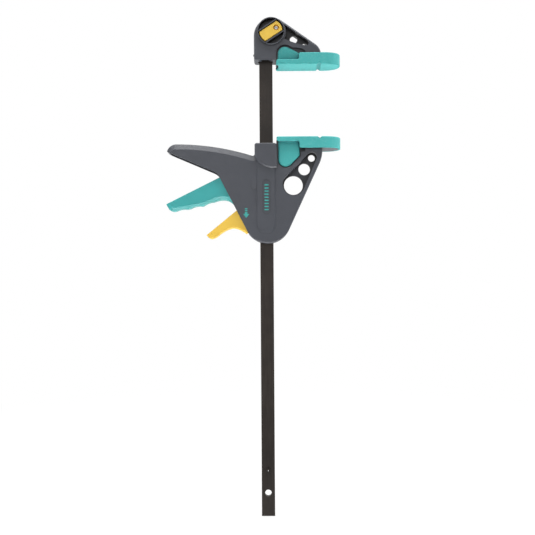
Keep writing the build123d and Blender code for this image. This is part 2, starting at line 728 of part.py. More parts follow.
def head_outer(side):
    """Solid outer form of one half: body, handle bevel, collar and channel."""
    face_y = -side * head_half_depth
    with BuildSketch(Plane.XZ) as body_side:
        head_side()
        shoulder = body_side.vertices().sort_by_distance((84.0, 505.8))[0]
        fillet(shoulder, radius=48.0)
        nape = body_side.vertices().sort_by_distance((collar_left, 507.2))[0]
        fillet(nape, radius=3.0)
    extrude(body_side.sketch, amount=side * head_half_depth)
    outside = edges().filter_by_position(Axis.Y, face_y - 0.01, face_y + 0.01)
    lower = outside.filter_by(lambda edge: edge.center().Z < 470 and edge.center().X > -20)
    right = outside.filter_by(lambda edge: edge.center().X > 50 and edge.center().Z < 519)
    fillet(ShapeList(set(lower + right)), radius=2.8)
    outside = edges().filter_by_position(Axis.Y, face_y - 0.01, face_y + 0.01)
    spine = outside.filter_by(lambda edge: edge.center().X < -20).sort_by(Edge.length)[-1]
    outer_face = faces().sort_by(Axis.Y)[0 if side > 0 else -1]
    chamfer(spine, length=8.0, length2=4.0, reference=outer_face)
    # Raised channel over the bar, its lower end running out in a ramp.
    with BuildSketch(Plane.XZ) as channel:
        with Locations(((channel_left + channel_right) / 2, (500 + channel_bottom) / 2)):
            Rectangle(channel_right - channel_left, 500 - channel_bottom)
        fillet(channel.vertices().group_by(Axis.Y)[0], radius=14.0)
    extrude(channel.sketch, amount=side * (head_half_depth + channel_height))
    raised = face_y - side * channel_height
    channel_rim = edges().filter_by_position(Axis.Y, raised - 0.01, raised + 0.01)
    channel_rim = channel_rim.filter_by(lambda edge: edge.center().Z < 499.0)
    channel_face = faces().filter_by(Plane.XZ).sort_by_distance((0, raised, 450.0))[0]
    chamfer(channel_rim, length=2.4, length2=0.9, reference=channel_face)
    with BuildSketch(Plane.YZ.offset(-40)) as ramp:
        with BuildLine():
            ramp_end = (face_y, channel_bottom - 0.6)
            ramp_start = (raised, channel_bottom + channel_ramp)
            ThreePointArc(
                ramp_end,
                (face_y - side * 0.82 * channel_height, channel_bottom + 0.42 * channel_ramp),
                ramp_start,
            )
            Polyline(
                ramp_start,
                (raised - side * 2, channel_bottom + channel_ramp),
                (raised - side * 2, channel_bottom - 0.6),
                ramp_end,
            )
        make_face()
    extrude(ramp.sketch, amount=80, mode=Mode.SUBTRACT)
    # Small boss beside the channel, over the trigger pivot, sinking away upwards.
    boss_lean = radians(3.0)
    boss_plane = Plane(
        origin=(-19.0, face_y - side * 1.1, 458.0),
        x_dir=(1, 0, 0),
        z_dir=(0, -side * cos(boss_lean), sin(boss_lean)),
    )
    with BuildSketch(boss_plane) as boss:
        with Locations((0, side * 13.0)):
            SlotOverall(26.0, 7.8, rotation=90)
    extrude(boss.sketch, amount=-1.8)
    # Collar round the upper guide.
    with BuildSketch(Plane.XZ) as collar:
        collar_side()
        upper = collar.vertices().group_by(Axis.Y)[-1]
        fillet(upper, radius=3.2)
    extrude(collar.sketch, amount=side * collar_half_depth)
    collar_y = -side * collar_half_depth
    collar_rim = edges().filter_by_position(Axis.Y, collar_y - 0.01, collar_y + 0.01)
    crescent = collar_rim.filter_by(lambda edge: edge.center().Z < 498.0)
    chamfer(crescent, length=2.3)
    collar_rim = edges().filter_by_position(Axis.Y, collar_y - 0.01, collar_y + 0.01)
    upper_rim = collar_rim.filter_by(lambda edge: edge.center().Z > 501.0)
    chamfer(upper_rim, length=1.0)


def head_flange(side):
    """Half of the plate that fills the moving pad, with its tenon."""
    top = moving_face_height - pad_cap_thickness - pad_fit
    depth = pad_rim_height - pad_cap_thickness
    with BuildSketch(Plane.XY.offset(top)) as flange:
        pad_plan(pad_rim_thickness + pad_fit)
        with Locations((pad_left, 0)):
            Rectangle(2 * (pad_step_x - pad_left) + 1.0, 50, mode=Mode.SUBTRACT)
        with Locations((50, side * 25)):
            Rectangle(200, 50, mode=Mode.SUBTRACT)
    extrude(flange.sketch, amount=-depth + 0.3)
    with BuildSketch(Plane.XY.offset(top)) as tenon:
        with Locations(((collar_right + pad_step_x + 3) / 2, -side * head_pocket_depth / 2)):
            Rectangle(pad_step_x + 3 - collar_right, head_pocket_depth)
    extrude(tenon.sketch, amount=-pad_rim_height)
    # Pocket for the pad's tongue.
    with BuildSketch(front(side * head_pocket_depth)) as pocket:
        moving_tongue_outline(tongue_gap)
        with Locations((55.0, 519.0)):
            Rectangle(6.0, 11.0)
    extrude(pocket.sketch, amount=side * 10, mode=Mode.SUBTRACT)
    face_y = -side * head_half_depth
    pocket_rim = edges().filter_by_position(Axis.Y, face_y - 0.01, face_y + 0.01)
    pocket_rim = pocket_rim.filter_by_position(Axis.X, 18.0, 50.0)
    pocket_rim = pocket_rim.filter_by_position(Axis.Z, 488.0, 510.0)
    chamfer(pocket_rim, length=0.9)


def head_arm_windows(side):
    """Sunk web along the arm and its three round windows."""
    (x1, z1, r1), (x2, z2, r2), (x3, z3, r3) = arm_holes
    margin = arm_recess_margin
    with BuildSketch(front(side * arm_web_half)) as recess:
        tapered_slot(x1, z1, r1 + margin, x2, z2, r2 + margin)
        tapered_slot(x2, z2, r2 + margin, x3, z3, r3 + margin)
    extrude(recess.sketch, amount=side * head_half_depth, mode=Mode.SUBTRACT)
    with BuildSketch(Plane.XZ) as windows:
        for x, z, radius in arm_holes:
            with Locations((x, z)):
                Circle(radius)
    extrude(windows.sketch, amount=side * head_half_depth, mode=Mode.SUBTRACT)


def head_cavities(side):
    """Room for the trigger drive above the deck and the brake below it."""
    with BuildSketch(Plane.XZ) as drive_room:
        with BuildLine() as outline:
            Polyline((14.6, upper_guide_bottom), (-19.5, upper_guide_bottom), (-20.0, 504.2))
            ThreePointArc((-20.0, 504.2), (-78.6, 517.4), (-137.0, 521.4))
            Polyline(
                (-137.0, 521.4), (-144.6, 517.0), (-144.0, 500.0), (-86.0, 477.0),
                (-80.0, 470.0), (-58.0, 426.0), (-46.0, 426.0), (-46.0, deck_left_top),
                (deck_step, deck_left_top), (deck_step, spring_seat_top),
                (14.6, spring_seat_top), (14.6, upper_guide_bottom),
            )
        make_face(outline.edges())
    extrude(drive_room.sketch, amount=side * head_cavity_half, mode=Mode.SUBTRACT)
    with BuildSketch(Plane.XZ) as brake_room:
        with BuildLine() as outline:
            Polyline(
                (21.5, brake_seat_top), (21.5, deck_bottom), (-62.0, deck_bottom),
                (-40.0, brake_seat_top), (21.5, brake_seat_top),
            )
        make_face(outline.edges())
    extrude(brake_room.sketch, amount=side * head_cavity_half, mode=Mode.SUBTRACT)


def head_inner_bosses(side):
    """Handle ribs, screw posts and pivot bosses inside one half."""
    rib_top = 516.5
    with BuildSketch(Plane.XZ) as posts:
        for x, z in screw_points:
            with Locations((x, z)):
                Circle(screw_boss_radius)
        for rib_x, rib_bottom in ((-108.0, 506.0), (-91.0, 506.0), (-74.0, 504.0)):
            with Locations((rib_x, (rib_bottom + rib_top) / 2)):
                Rectangle(1.6, rib_top - rib_bottom)
    extrude(posts.sketch, amount=side * (head_cavity_half + 0.5))
    with BuildSketch(front(side * (trigger_half_width + 0.4))) as trigger_boss:
        with Locations((trigger_pivot_x, trigger_pivot_height)):
            Circle(trigger_pin_radius + 2.5)
    extrude(trigger_boss.sketch, amount=side * 3)
    with BuildSketch(front(side * (brake_half_width + 0.4))) as brake_boss:
        with Locations((brake_pivot_x, brake_pivot_height)):
            Circle(brake_pin_radius + 2.4)
    extrude(brake_boss.sketch, amount=side * 4)


def head_bores(side):
    """Bar slot, pivot sockets and screw holes of one half."""
    with BuildSketch(Plane.XY.offset(370.0)) as bar_slot:
        Rectangle(bar_width + 2 * guide_gap, bar_thickness + 2 * guide_gap)
    extrude(bar_slot.sketch, amount=170.0, mode=Mode.SUBTRACT)
    with BuildSketch(Plane.XZ) as sockets:
        with Locations((trigger_pivot_x, trigger_pivot_height)):
            Circle(trigger_pin_radius)
        with Locations((brake_pivot_x, brake_pivot_height)):
            Circle(brake_pin_radius)
    extrude(sockets.sketch, amount=side * (pin_half_length + 0.1), mode=Mode.SUBTRACT)
    with BuildSketch(Plane.XZ) as screw_holes:
        for x, z in screw_points:
            with Locations((x, z)):
                Circle(screw_hole_radius if side > 0 else screw_clear_radius)
    hole_depth = 11.0 if side > 0 else head_half_depth
    extrude(screw_holes.sketch, amount=side * hole_depth, mode=Mode.SUBTRACT)


with BuildPart() as head_housing_front:
    head_outer(1)
    head_flange(1)
    head_arm_windows(1)
    head_cavities(1)
    head_inner_bosses(1)
    head_bores(1)
    # Label pocket let into the channel.
    with BuildSketch(front(head_half_depth + channel_height - label_depth)):
        with Locations((label_x, (label_low + label_high) / 2)):
            SlotOverall(label_high - label_low, label_width, rotation=90)
    extrude(amount=5, mode=Mode.SUBTRACT)
save(head_housing_front.part, "head_housing_front")

with BuildPart() as head_housing_back:
    head_outer(-1)
    head_flange(-1)
    head_arm_windows(-1)
    head_cavities(-1)
    head_inner_bosses(-1)
    head_bores(-1)
    # Seats for the screw heads.
    with BuildSketch(front(-screw_seat)):
        for x, z in screw_points:
            with Locations((x, z)):
                Circle(screw_head_radius + 0.4)
    extrude(amount=-10, mode=Mode.SUBTRACT)
save(head_housing_back.part, "head_housing_back")

with BuildPart() as head_screws:
    for x, z in screw_points:
        pan_screw(x, z, -screw_seat, 22.0, -1)
save(head_screws.part, "head_screws")

# Printed marks: a plain ladder of short bars in the pocket and a striped arrow.
with BuildPart() as label_inlay:
    with BuildSketch(front(head_half_depth + channel_height - label_depth)):
        for step in range(9):
            with Locations((label_x, label_high - 8.4 - 4.6 * step)):
                SlotOverall(6.4, 2.0)
    extrude(amount=0.3)
save(label_inlay.part, "label_inlay")

with BuildPart() as arrow_print:
    with BuildSketch(front(head_half_depth)):
        with BuildLine():
            Polyline(
                (arrow_x, arrow_low), (arrow_x - 4.6, arrow_low + 6.0),
                (arrow_x - 1.9, arrow_low + 6.0), (arrow_x - 1.9, arrow_low + 9.0),
                (arrow_x + 1.9, arrow_low + 9.0), (arrow_x + 1.9, arrow_low + 6.0),
                (arrow_x + 4.6, arrow_low + 6.0), close=True,
            )
        make_face()
        for step in range(2):
            with Locations((arrow_x, arrow_low + 11.0 + 2.6 * step)):
                Rectangle(3.8, 1.6)
    extrude(amount=0.15)
save(arrow_print.part, "arrow_print")


# ================================================================ trigger drive
nose_rest_angle = trigger_swing / 2
nose_x = trigger_pivot_x + nose_arm * cos(radians(nose_rest_angle))
nose_z = trigger_pivot_height + nose_arm * sin(radians(nose_rest_angle))
drive_plate_top = nose_z - nose_radius - 0.05
drive_plate_bottom = drive_plate_top - drive_plate_thickness


def trigger_side():
    """Side view of the trigger: straight back, square tip, smooth underside, root."""
    with BuildLine() as outline:
        Line((-151.0, 436.6), (-52.0, 485.5))
        ThreePointArc((-52.0, 485.5), (-44.0, 487.4), (-36.5, 484.0))
        Line((-36.5, 484.0), (-30.0, 477.6))
        Line((-30.0, 477.6), (-20.8, 475.2))
        Line((-20.8, 475.2), (-20.4, 467.4))
        Line((-20.4, 467.4), (-22.6, 464.6))
        Line((-22.6, 464.6), (-32.0, 462.0))
        Line((-32.0, 462.0), (-40.0, 443.0))
        ThreePointArc((-40.0, 443.0), (-44.6, 437.6), (-50.1, 436.2))
        Spline(
            (-50.1, 436.2), (-56.6, 441.2), (-67.0, 442.9), (-90.0, 435.7),
            (-112.0, 430.7), (-136.0, 426.4), (-142.6, 426.4), (-146.5, 428.6),
        )
        Line((-146.5, 428.6), (-151.0, 436.6))
    make_face(outline.edges())


with BuildPart() as drive_trigger:
    with BuildSketch(Plane.XZ) as lever_side:
        trigger_side()
        with Locations((trigger_pivot_x, trigger_pivot_height)):
            Circle(5.4)
        with Locations((nose_x, nose_z)):
            Circle(nose_radius)
        with BuildLine():
            arm_cos = cos(radians(nose_rest_angle))
            arm_sin = sin(radians(nose_rest_angle))
            Polyline(
                (trigger_pivot_x + 2.0 * arm_sin, trigger_pivot_height - 2.0 * arm_cos),
                (nose_x + 2.0 * arm_sin, nose_z - 2.0 * arm_cos),
                (nose_x - nose_radius * arm_sin, nose_z + nose_radius * arm_cos),
                (trigger_pivot_x - 5.0 * arm_sin, trigger_pivot_height + 5.0 * arm_cos),
                close=True,
            )
        make_face()
    extrude(amount=trigger_half_width, both=True)
    # Long bevel on the grip, then the finger hollows across it.
    for face_y in (trigger_half_width, -trigger_half_width):
        grip = drive_trigger.edges().filter_by_position(Axis.Y, face_y - 0.01, face_y + 0.01)
        grip = grip.filter_by(GeomType.BSPLINE)
        cheek = drive_trigger.faces().sort_by(Axis.Y)[-1 if face_y > 0 else 0]
        chamfer(grip, length=grip_bevel_height, length2=grip_bevel_depth, reference=cheek)
        back = drive_trigger.edges().filter_by_position(Axis.Y, face_y - 0.01, face_y + 0.01)
        back = back.filter_by(lambda edge: -105.0 < edge.center().X < -90.0)
        back = back.filter_by(lambda edge: edge.center().Z > 455.0)
        chamfer(back, length=0.9)
    with BuildSketch(Plane.XZ):
        for x, z in finger_hollows:
            with Locations((x, z - finger_hollow_radius + finger_hollow_depth)):
                Circle(finger_hollow_radius)
    extrude(amount=trigger_half_width + 1, both=True, mode=Mode.SUBTRACT)
    # Cored from the back, with cross ribs.
    with BuildSketch(Plane.XZ):
        with BuildLine():
            Polyline(
                (-140.0, 445.0), (-56.0, 487.0), (-48.0, 492.0),
                (-44.0, 470.0), (-60.0, 453.0), (-140.0, 433.0), close=True,
            )
        make_face()
        for rib_x in (-122.0, -105.0, -88.0, -71.0):
            with Locations((rib_x, 460.0)):
                Rectangle(1.8, 60.0, mode=Mode.SUBTRACT)
    extrude(amount=trigger_half_width - 2.6, both=True, mode=Mode.SUBTRACT)
    # Root slimmed to clear the pivot bosses, then the bore.
    with BuildSketch(Plane.XZ):
        with Locations((trigger_pivot_x, trigger_pivot_height)):
            Circle(trigger_pin_radius + running_gap)
    extrude(amount=trigger_half_width + 1, both=True, mode=Mode.SUBTRACT)
save(drive_trigger.part, "drive_trigger")

with BuildPart() as trigger_pivot_pin:
    with BuildSketch(front(-pin_half_length)):
        with Locations((trigger_pivot_x, trigger_pivot_height)):
            Circle(trigger_pin_radius)
    extrude(amount=2 * pin_half_length)
    chamfer(trigger_pivot_pin.edges().filter_by(GeomType.CIRCLE), length=0.4)
save(trigger_pivot_pin.part, "trigger_pivot_pin")

with BuildPart() as drive_plate:
    with BuildSketch(Plane.XY.offset(drive_plate_bottom)):
        with Locations(((drive_plate_left + drive_plate_right) / 2, 0)):
            RectangleRounded(
                drive_plate_right - drive_plate_left, 2 * drive_plate_half_width, 2.0
            )
        Rectangle(
            bar_width + 2 * slot_gap, bar_thickness + 2 * slot_gap, mode=Mode.SUBTRACT
        )
    extrude(amount=drive_plate_thickness)
    chamfer(drive_plate.faces().sort_by(Axis.Z)[0].outer_wire().edges(), length=0.5)
    chamfer(drive_plate.faces().sort_by(Axis.Z)[-1].outer_wire().edges(), length=0.5)
save(drive_plate.part, "drive_plate")


def coil_spring(x, low, high, coil_radius, wire, active_turns):
    """Compression spring standing on the XY plane with one closed turn at each end."""
    steps = 12
    closed_rise = 1.04 * wire
    rise = high - low - wire - 0.1
    active_pitch = (rise - 2 * closed_rise) / active_turns
    height = low + wire / 2 + 0.05
    path = []
    for step in range(steps * (active_turns + 2) + 1):
        turn = step / steps
        path.append((x + coil_radius * cos(2 * pi * turn), coil_radius * sin(2 * pi * turn), height))
        closed = turn < 1 or turn >= active_turns + 1
        height += (closed_rise if closed else active_pitch) / steps
    with BuildPart() as spring:
        with BuildLine() as centre_line:
            Spline(*path)
        wire_start = centre_line.edges()[0]
        with BuildSketch(Plane(origin=wire_start @ 0, z_dir=wire_start % 0)) as section:
            Circle(wire / 2)
        sweep(section.sketch, path=wire_start)
    return spring


drive_return_spring = coil_spring(
    0, spring_seat_top, drive_plate_bottom, drive_spring_radius,
    drive_spring_wire, drive_spring_turns,
)
save(drive_return_spring.part, "drive_return_spring")


# ================================================================ brake
def brake_side():
    """Side view of the release lever: straight back, one finger hollow, long tip."""
    with BuildLine() as outline:
        Line((-95.0, 386.3), (-44.8, 427.0))
        ThreePointArc((-44.8, 427.0), (-42.7, 427.2), (-41.3, 425.4))
        Line((-41.3, 425.4), (-31.0, 411.5))
        Line((-31.0, 411.5), (-24.0, 409.6))
        Line((-24.0, 409.6), (-13.2, 409.0))
        Line((-13.2, 409.0), (-13.2, 398.6))
        Line((-13.2, 398.6), (-22.0, 397.6))
        Line((-22.0, 397.6), (-30.5, 391.4))
        Spline(
            (-30.5, 391.4), (-40.0, 397.4), (-50.0, 400.0), (-61.0, 396.7),
            (-70.0, 391.0), (-76.0, 386.6), (-82.0, 384.2), (-92.0, 382.4),
        )
        Line((-92.0, 382.4), (-95.0, 386.3))
    make_face(outline.edges())


def brake_tip_cut():
    """What is trimmed off the lever's tip, leaving a slanted end and a round heel."""
    with BuildLine() as outline:
        Polyline(
            (-80.0, 383.2), (-80.0, 376.0), (-100.0, 376.0), (-100.0, 392.5),
            (-89.2, 392.5), (-90.3, 389.4), (-86.8, 385.5),
        )
        ThreePointArc((-86.8, 385.5), (-84.9, 384.4), (-82.4, 383.9))
        Line((-82.4, 383.9), (-80.0, 383.2))
    make_face(outline.edges())


brake_plane = Plane(
    origin=(brake_pivot_x, 0, brake_pivot_height),
    x_dir=(cos(radians(brake_tilt)), 0, sin(radians(brake_tilt))),
    z_dir=(-sin(radians(brake_tilt)), 0, cos(radians(brake_tilt))),
)
brake_plate_start = 4.0
brake_grip = 8.5

with BuildPart() as release_lever:
    with BuildSketch(Plane.XZ):
        brake_side()
        with Locations((brake_pivot_x, brake_pivot_height)):
            Circle(6.2)
    extrude(amount=brake_half_width, both=True)
    for face_y in (brake_half_width, -brake_half_width):
        finger = release_lever.edges().filter_by_position(Axis.Y, face_y - 0.01, face_y + 0.01)
        fillet(finger.filter_by(GeomType.BSPLINE), radius=3.0)
    with BuildSketch(Plane.XZ):
        brake_tip_cut()
    extrude(amount=brake_half_width + 1, both=True, mode=Mode.SUBTRACT)
    # Mouth that holds the brake plate's end.
    with BuildSketch(brake_plane.offset(-brake_plate_thickness / 2)):
        with Locations((brake_plate_start + 20, 0)):
            Rectangle(40, 2 * brake_half_width + 2)
    extrude(amount=brake_plate_thickness, mode=Mode.SUBTRACT)
    with BuildSketch(Plane.XZ):
        with Locations((brake_pivot_x, brake_pivot_height)):
            Circle(brake_pin_radius + running_gap)
    extrude(amount=brake_half_width + 1, both=True, mode=Mode.SUBTRACT)
save(release_lever.part, "release_lever")

with BuildPart() as brake_plate:
    with BuildSketch(brake_plane.offset(-brake_plate_thickness / 2)):
        with Locations(((brake_plate_start + brake_plate_length) / 2, 0)):
            RectangleRounded(brake_plate_length - brake_plate_start, 2 * brake_grip, 1.5)
        with Locations((-brake_pivot_x + 0.1, 0)):
            Rectangle(brake_slot_length, bar_thickness + 2 * slot_gap, mode=Mode.SUBTRACT)
    extrude(amount=brake_plate_thickness)
save(brake_plate.part, "brake_plate")

with BuildPart() as release_pivot_pin:
    with BuildSketch(front(-pin_half_length)):
        with Locations((brake_pivot_x, brake_pivot_height)):
            Circle(brake_pin_radius)
    extrude(amount=2 * pin_half_length)
    chamfer(release_pivot_pin.edges().filter_by(GeomType.CIRCLE), length=0.4)
save(release_pivot_pin.part, "release_pivot_pin")

brake_spring_top = (
    brake_pivot_height
    + (brake_spring_x - brake_spring_radius - 0.5 - brake_pivot_x) * tan(radians(brake_tilt))
    - brake_plate_thickness / 2 / cos(radians(brake_tilt))
)
brake_spring = coil_spring(
    brake_spring_x, brake_seat_top, brake_spring_top, brake_spring_radius,
    brake_spring_wire, brake_spring_turns,
)
save(brake_spring.part, "brake_spring")
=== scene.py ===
"""Looks for the one-handed bar clamp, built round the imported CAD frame.

Metres, in the CAD frame: +X along the jaws, -Y towards the viewer, +Z up the bar.
"""

import json
import math

import bmesh
import bpy
from mathutils import Euler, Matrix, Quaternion, Vector


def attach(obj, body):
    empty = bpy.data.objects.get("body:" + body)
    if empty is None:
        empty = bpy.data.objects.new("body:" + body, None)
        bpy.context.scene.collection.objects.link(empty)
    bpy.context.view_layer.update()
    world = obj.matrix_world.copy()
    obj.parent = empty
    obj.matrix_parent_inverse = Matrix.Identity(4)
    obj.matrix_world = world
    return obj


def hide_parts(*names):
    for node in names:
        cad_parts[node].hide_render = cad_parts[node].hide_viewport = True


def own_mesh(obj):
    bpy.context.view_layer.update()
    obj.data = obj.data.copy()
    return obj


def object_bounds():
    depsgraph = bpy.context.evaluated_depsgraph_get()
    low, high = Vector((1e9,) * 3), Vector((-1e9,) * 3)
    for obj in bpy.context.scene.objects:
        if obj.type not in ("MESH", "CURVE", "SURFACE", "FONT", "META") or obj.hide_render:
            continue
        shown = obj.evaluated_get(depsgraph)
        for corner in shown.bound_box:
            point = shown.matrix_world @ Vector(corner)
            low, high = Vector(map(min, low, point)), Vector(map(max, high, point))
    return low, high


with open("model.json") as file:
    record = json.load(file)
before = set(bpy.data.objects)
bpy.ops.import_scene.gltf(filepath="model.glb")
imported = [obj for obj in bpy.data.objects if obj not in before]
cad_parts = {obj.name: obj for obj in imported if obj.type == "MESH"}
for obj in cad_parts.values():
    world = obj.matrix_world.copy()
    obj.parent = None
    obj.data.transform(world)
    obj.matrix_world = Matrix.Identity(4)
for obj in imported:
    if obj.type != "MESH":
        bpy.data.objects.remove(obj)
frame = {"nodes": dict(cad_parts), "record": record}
cad_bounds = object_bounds()
MM = 0.001

# ------------------------------------------------------------------ colours
# Linear RGB.
HOUSING = (0.061, 0.066, 0.081)
TEAL_PAD = (0.080, 0.510, 0.495)
TEAL_TRIGGER = (0.050, 0.420, 0.415)
YELLOW = (0.980, 0.630, 0.085)
BAR_BLACK = (0.032, 0.026, 0.023)
PRINT_TEAL = (0.060, 0.430, 0.400)
ZINC = (0.62, 0.63, 0.65)
# Painted shade for the housing's pockets and recesses.
POCKET_PAINTED_SHADE = (0.020, 0.018, 0.018)
# Painted shade for the rubber pads' recesses and the surfaces under their lips.
PAD_SHADE = (0.006, 0.120, 0.135)
SPRING = (0.30, 0.31, 0.33)
WORKSHOP_WHITE = (0.93, 0.93, 0.92)
CHALKY_TEAL = (0.42, 0.70, 0.66)
RUBBED_TEAL = (0.30, 0.66, 0.62)
RUBBED_YELLOW = (0.98, 0.80, 0.36)
BAR_BROWN = (0.048, 0.038, 0.032)
BAR_STREAK = (0.075, 0.066, 0.060)
BARE_STEEL = (0.20, 0.19, 0.18)

# Rays that the edge and pocket shading send out per sample.
SHADER_RAYS = 6


# ------------------------------------------------------------------ node helpers
class Shader:
    """Small wrapper that adds and links nodes of one material."""

    def __init__(self, name):
        self.material = bpy.data.materials.new(name)
        self.material.use_nodes = True
        self.tree = self.material.node_tree
        self.tree.nodes.clear()
        self.out = self.add("ShaderNodeOutputMaterial")
        self.bsdf = self.add("ShaderNodeBsdfPrincipled")
        self.link(self.bsdf.outputs["BSDF"], self.out.inputs["Surface"])
        self.coords = self.add("ShaderNodeTexCoord").outputs["Object"]

    def add(self, kind, **inputs):
        node = self.tree.nodes.new(kind)
        for key, value in inputs.items():
            node.inputs[key.replace("_", " ")].default_value = value
        return node

    def link(self, source, target):
        self.tree.links.new(source, target)

    def stretched(self, scale):
        """Object coordinates scaled per axis."""
        mapping = self.add("ShaderNodeMapping")
        mapping.inputs["Scale"].default_value = scale
        self.link(self.coords, mapping.inputs["Vector"])
        return mapping.outputs["Vector"]

    def noise(self, scale, detail=4.0, rough=0.5, vector=None):
        node = self.add("ShaderNodeTexNoise", Scale=scale, Detail=detail, Roughness=rough)
        self.link(vector or self.coords, node.inputs["Vector"])
        return node.outputs["Fac"]

    def voronoi(self, scale):
        node = self.add("ShaderNodeTexVoronoi", Scale=scale)
        self.link(self.coords, node.inputs["Vector"])
        return node.outputs["Distance"]

    def spread(self, value, low, high, to_low, to_high):
        """Map a value from one range to another, clamped."""
        node = self.add("ShaderNodeMapRange")
        for key, number in zip(("From Min", "From Max", "To Min", "To Max"),
                               (low, high, to_low, to_high)):
            node.inputs[key].default_value = number
        self.link(value, node.inputs["Value"])
        return node.outputs["Result"]

    def math(self, operation, a, b):
        node = self.add("ShaderNodeMath")
        node.operation = operation
        for slot, value in zip(node.inputs, (a, b)):
            if isinstance(value, (int, float)):
                slot.default_value = value
            else:
                self.link(value, slot)
        return node.outputs[0]

    def mix(self, factor, a, b):
        """Colour mix by a factor socket; a and b are linear RGB tuples or sockets."""
        node = self.add("ShaderNodeMix")
        node.data_type = "RGBA"
        for slot, value in ((node.inputs[6], a), (node.inputs[7], b)):
            if isinstance(value, tuple):
                slot.default_value = (*value, 1.0)
            else:
                self.link(value, slot)
        self.link(factor, node.inputs[0])
        return node.outputs[2]

    def rounded(self, radius):
        """Normal softened over sharp edges, as moulded or worn corners are."""
        node = self.add("ShaderNodeBevel")
        node.samples = SHADER_RAYS
        node.inputs["Radius"].default_value = radius
        return node.outputs["Normal"]

    def openness(self, reach, low, high):
        """0 down in pockets and corners, 1 on open surfaces."""
        node = self.add("ShaderNodeAmbientOcclusion", Distance=reach)
        node.samples = SHADER_RAYS
        return self.spread(node.outputs["AO"], low, high, 0.0, 1.0)

    def bump(self, height, distance, strength=1.0, normal=None):
        node = self.add("ShaderNodeBump")
        node.inputs["Strength"].default_value = strength
        node.inputs["Distance"].default_value = distance
        self.link(height, node.inputs["Height"])
        if normal is not None:
            self.link(normal, node.inputs["Normal"])
        return node.outputs["Normal"]

    def edge_wear(self, radius, low, high):
        """1 on sharp edges, fading to 0 over the radius."""
        bevel = self.rounded(radius)
        geometry = self.add("ShaderNodeNewGeometry")
        dot = self.add("ShaderNodeVectorMath")
        dot.operation = "DOT_PRODUCT"
        self.link(bevel, dot.inputs[0])
        self.link(geometry.outputs["Normal"], dot.inputs[1])
        return self.spread(dot.outputs["Value"], high, low, 0.0, 1.0)

    def finish(self, colour, rough, normal, metallic=0.0, specular=0.5):
        """Join the colour, roughness and normal sockets to the surface."""
        self.link(colour, self.bsdf.inputs["Base Color"])
        self.link(rough, self.bsdf.inputs["Roughness"])
        self.link(normal, self.bsdf.inputs["Normal"])
        self.bsdf.inputs["Metallic"].default_value = metallic
        self.bsdf.inputs["Specular IOR Level"].default_value = specular
        return self.material


def scaled(colour, factor):
    """Colour made brighter or darker by a factor."""
    return tuple(min(1.0, channel * factor) for channel in colour)


# ------------------------------------------------------------------ materials
def housing_plastic():
    """Spark-eroded glass-filled nylon: fine grain, faint cloudiness, scuffed edges, painted
    shade down in pockets.
    """
    s = Shader("housing_plastic")
    cloud = s.noise(38.0, 3.0)
    speckle = s.noise(2600.0, 2.0)
    wear = s.math("MULTIPLY", s.edge_wear(0.0007, 0.80, 0.985),
                  s.spread(s.noise(300.0, 4.0), 0.35, 0.65, 0.2, 1.0))
    colour = s.mix(s.spread(cloud, 0.3, 0.7, 0.0, 1.0),
                   scaled(HOUSING, 0.93), scaled(HOUSING, 1.07))
    colour = s.mix(s.spread(speckle, 0.45, 0.75, 0.0, 0.35), colour, scaled(HOUSING, 1.5))
    colour = s.mix(s.math("MULTIPLY", wear, 0.3), colour, scaled(HOUSING, 1.7))
    # Painted shade: darker down in pockets and recesses, where light does not reach.
    colour = s.mix(s.openness(0.022, 0.25, 0.85), POCKET_PAINTED_SHADE, colour)
    rough = s.spread(s.noise(90.0, 4.0), 0.3, 0.7, 0.40, 0.52)
    grain = s.math("ADD", s.noise(1500.0, 3.0), s.math("MULTIPLY", s.voronoi(1100.0), 0.6))
    normal = s.bump(grain, 0.00007, 0.45)
    return s.finish(colour, rough, normal, specular=0.70)


def pad_rubber():
    """Moulded thermoplastic rubber: matt, very fine pitting, dusty high spots, painted shade
    down in recesses.
    """
    s = Shader("pad_rubber")
    cloud = s.noise(30.0, 4.0)
    dust = s.noise(420.0, 5.0, 0.6)
    colour = s.mix(s.spread(cloud, 0.3, 0.7, 0.0, 1.0),
                   scaled(TEAL_PAD, 0.95), scaled(TEAL_PAD, 1.05))
    colour = s.mix(s.spread(dust, 0.52, 0.8, 0.0, 0.20), colour, CHALKY_TEAL)
    # Painted shade: darker teal down in recesses and under overhangs, where light does not
    # reach.
    colour = s.mix(s.openness(0.030, 0.45, 0.95), PAD_SHADE, colour)
    rough = s.spread(s.noise(160.0, 4.0), 0.3, 0.7, 0.58, 0.74)
    pits = s.math("ADD", s.noise(1300.0, 4.0), s.math("MULTIPLY", s.noise(240.0, 2.0), 0.7))
    normal = s.bump(pits, 0.00008, 0.5)
    material = s.finish(colour, rough, normal, specular=0.35)
    s.bsdf.inputs["Sheen Weight"].default_value = 0.12
    s.bsdf.inputs["Sheen Roughness"].default_value = 0.4
    return material


def lever_plastic(name, base, lift):
    """Satin nylon lever: flow clouding, polished where fingers rub."""
    s = Shader(name)
    cloud = s.noise(42.0, 3.0, 0.5, s.stretched((0.5, 1.0, 1.0)))
    colour = s.mix(s.spread(cloud, 0.3, 0.7, 0.0, 1.0), scaled(base, 0.94), scaled(base, 1.05))
    wear = s.math("MULTIPLY", s.edge_wear(0.0008, 0.80, 0.985),
                  s.spread(s.noise(120.0, 3.0), 0.3, 0.7, 0.3, 0.7))
    colour = s.mix(s.math("MULTIPLY", wear, 0.25), colour, lift)
    rough = s.spread(s.noise(70.0, 5.0), 0.3, 0.7, 0.34, 0.50)
    grain = s.noise(1250.0, 3.0)
    normal = s.bump(grain, 0.00006, 0.45)
    return s.finish(colour, rough, normal, specular=0.48)


